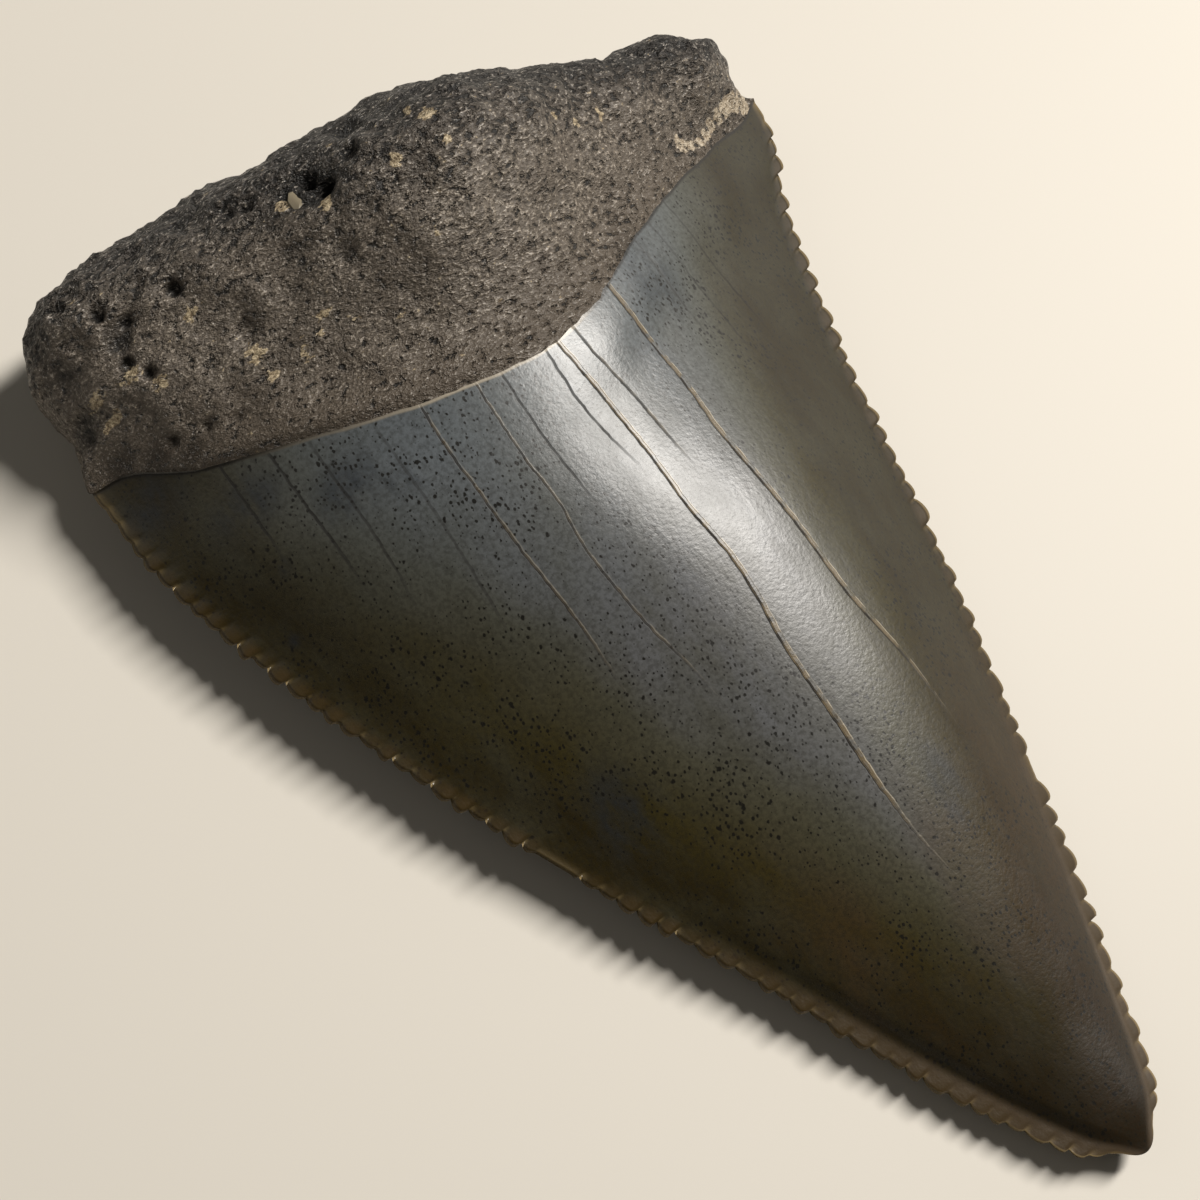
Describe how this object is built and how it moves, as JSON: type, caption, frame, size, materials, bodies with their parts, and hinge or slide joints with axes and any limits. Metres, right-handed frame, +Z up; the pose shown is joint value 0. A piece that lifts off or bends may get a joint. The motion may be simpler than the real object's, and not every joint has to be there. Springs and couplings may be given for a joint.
{
  "type": "fossil great white shark tooth",
  "caption": "Fossil shark tooth lying on its flat side, with a broad serrated triangular crown, a bulging inner face and a lobed root",
  "frame": {"origin": "middle of the underside, on the surface the tooth lies on", "axes": "+X across the width of the tooth, +Y from the tip towards the root, +Z up from the surface towards the bulging inner face"},
  "size_m": [0.0394, 0.0598, 0.0141],
  "materials": {
    "fossil_tooth": "mineral-stained fossil enamel and dentine, blue-grey to dark olive brown, satin to gloss"
  },
  "bodies": {
    "root": {"tooth": "fossil_tooth"}
  },
  "joints": []
}
